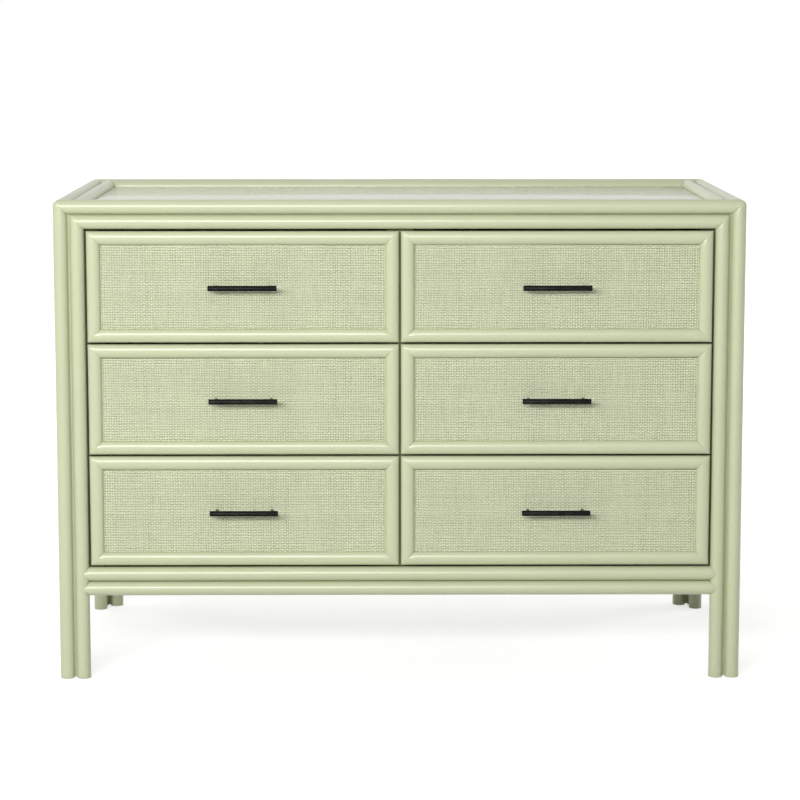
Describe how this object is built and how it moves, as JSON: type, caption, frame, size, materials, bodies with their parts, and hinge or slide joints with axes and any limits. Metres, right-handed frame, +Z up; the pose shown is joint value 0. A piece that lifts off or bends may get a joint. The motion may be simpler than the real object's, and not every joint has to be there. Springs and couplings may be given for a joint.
{
  "type": "dresser with drawers",
  "caption": "Low wide dresser in a frame of round rattan poles, with drawers in two columns, woven fronts in half-round mouldings, bar pulls and a tray-edged top.",
  "frame": {"origin": "on the floor, at the middle of the bounding box with the handles", "axes": "+X to the right seen from the front, -Y out of the drawer fronts, +Z up"},
  "size_m": [1.2, 0.5594, 0.847],
  "materials": {
    "painted_rattan": "smooth rattan pole in sage green satin paint",
    "painted_board": "flat board in sage green satin paint",
    "woven_cane": "fine plain weave of cane, painted sage green",
    "drawer_wood": "clear-lacquered light wood",
    "black_metal": "satin black"
  },
  "bodies": {
    "carcass": {"back_bottom_rail": "painted_rattan", "back_left_corner_pole": "painted_rattan", "back_left_inner_pole": "painted_rattan", "back_left_side_pole": "painted_rattan", "back_panel": "painted_board", "back_right_corner_pole": "painted_rattan", "back_right_inner_pole": "painted_rattan", "back_right_side_pole": "painted_rattan", "back_top_rail": "painted_rattan", "bottom_panel": "painted_board", "centre_divider": "painted_board", "front_bottom_rail_lower": "painted_rattan", "front_bottom_rail_upper": "painted_rattan", "front_left_corner_pole": "painted_rattan", "front_left_inner_pole": "painted_rattan", "front_left_side_pole": "painted_rattan", "front_right_corner_pole": "painted_rattan", "front_right_inner_pole": "painted_rattan", "front_right_side_pole": "painted_rattan", "front_top_rail_lower": "painted_rattan", "front_top_rail_upper": "painted_rattan", "left_bottom_rail_lower": "painted_rattan", "left_bottom_rail_upper": "painted_rattan", "left_runner_board": "drawer_wood", "left_side_panel": "painted_board", "left_top_rail_lower": "painted_rattan", "left_top_rail_upper": "painted_rattan", "right_bottom_rail_lower": "painted_rattan", "right_bottom_rail_upper": "painted_rattan", "right_runner_board": "drawer_wood", "right_side_panel": "painted_board", "right_top_rail_lower": "painted_rattan", "right_top_rail_upper": "painted_rattan", "top_panel": "painted_board", "tray_edge_poles": "painted_rattan"},
    "bottom_left_drawer": {"bottom_left_drawer_box": "drawer_wood", "bottom_left_drawer_front": "painted_rattan", "bottom_left_drawer_handle": "black_metal", "bottom_left_drawer_weave": "woven_cane"},
    "bottom_right_drawer": {"bottom_right_drawer_box": "drawer_wood", "bottom_right_drawer_front": "painted_rattan", "bottom_right_drawer_handle": "black_metal", "bottom_right_drawer_weave": "woven_cane"},
    "middle_left_drawer": {"middle_left_drawer_box": "drawer_wood", "middle_left_drawer_front": "painted_rattan", "middle_left_drawer_handle": "black_metal", "middle_left_drawer_weave": "woven_cane"},
    "middle_right_drawer": {"middle_right_drawer_box": "drawer_wood", "middle_right_drawer_front": "painted_rattan", "middle_right_drawer_handle": "black_metal", "middle_right_drawer_weave": "woven_cane"},
    "top_left_drawer": {"top_left_drawer_box": "drawer_wood", "top_left_drawer_front": "painted_rattan", "top_left_drawer_handle": "black_metal", "top_left_drawer_weave": "woven_cane"},
    "top_right_drawer": {"top_right_drawer_box": "drawer_wood", "top_right_drawer_front": "painted_rattan", "top_right_drawer_handle": "black_metal", "top_right_drawer_weave": "woven_cane"}
  },
  "joints": [
    {"name": "bottom_left_drawer_slide", "type": "slide", "parent": "carcass", "child": "bottom_left_drawer", "axis": [0, -1, 0], "range_m": [0, 0.34]},
    {"name": "bottom_right_drawer_slide", "type": "slide", "parent": "carcass", "child": "bottom_right_drawer", "axis": [0, -1, 0], "range_m": [0, 0.34]},
    {"name": "middle_left_drawer_slide", "type": "slide", "parent": "carcass", "child": "middle_left_drawer", "axis": [0, -1, 0], "range_m": [0, 0.34]},
    {"name": "middle_right_drawer_slide", "type": "slide", "parent": "carcass", "child": "middle_right_drawer", "axis": [0, -1, 0], "range_m": [0, 0.34]},
    {"name": "top_left_drawer_slide", "type": "slide", "parent": "carcass", "child": "top_left_drawer", "axis": [0, -1, 0], "range_m": [0, 0.34]},
    {"name": "top_right_drawer_slide", "type": "slide", "parent": "carcass", "child": "top_right_drawer", "axis": [0, -1, 0], "range_m": [0, 0.34]}
  ]
}
